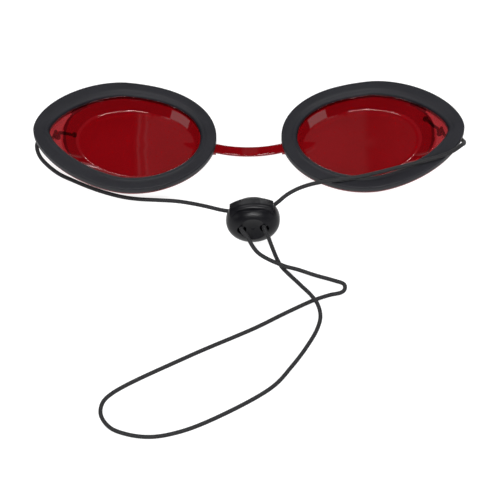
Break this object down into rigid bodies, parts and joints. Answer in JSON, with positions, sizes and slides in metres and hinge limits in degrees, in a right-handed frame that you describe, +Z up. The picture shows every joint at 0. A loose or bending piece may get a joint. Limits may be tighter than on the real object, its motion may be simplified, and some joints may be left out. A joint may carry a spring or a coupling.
{
  "type": "laser safety eyecup goggles",
  "caption": "Patient laser safety goggles: red transparent eyecups with gasket rings on a nose strip, held by a thin elastic cord through a push-button cord lock.",
  "frame": {"origin": "on the table, below the middle between the two eyecups, with the lenses down", "axes": "+X from the left eyecup to the right one, +Y away from the cord lock, +Z up, out of the lenses towards the face"},
  "size_m": [0.1402, 0.132, 0.0156],
  "materials": {
    "red_plastic": "transparent red polycarbonate, polished",
    "gasket": "matte black foam rubber",
    "cord": "braided black elastic",
    "lock": "satin black nylon",
    "spring_steel": "bright spring wire"
  },
  "bodies": {
    "root": {"left_eyecup": "red_plastic", "left_gasket": "gasket", "nose_bridge": "red_plastic", "cord_left": "cord", "cord_right": "cord", "cord_loop": "cord", "left_knot": "cord", "lock_body": "lock", "lock_spring": "spring_steel"},
    "right_cup": {"right_eyecup": "red_plastic", "right_gasket": "gasket", "right_knot": "cord"},
    "plunger": {"lock_plunger": "lock"}
  },
  "joints": [
    {"name": "bridge_flex", "type": "hinge", "parent": "root", "child": "right_cup", "pos_m": [0, -0.0031, 0.0032], "axis": [0, -1, 0], "range_deg": [-15, 45], "stiffness_Nm_per_rad": 0.026, "deforming": ["nose_bridge", "cord_right"]},
    {"name": "plunger_press", "type": "slide", "parent": "root", "child": "plunger", "axis": [-0.0872, 0.241, 0.9666], "range_m": [-0.00145, 0], "stiffness_N_per_m": 350, "springref_m": 0.0005, "deforming": ["lock_spring"]}
  ]
}
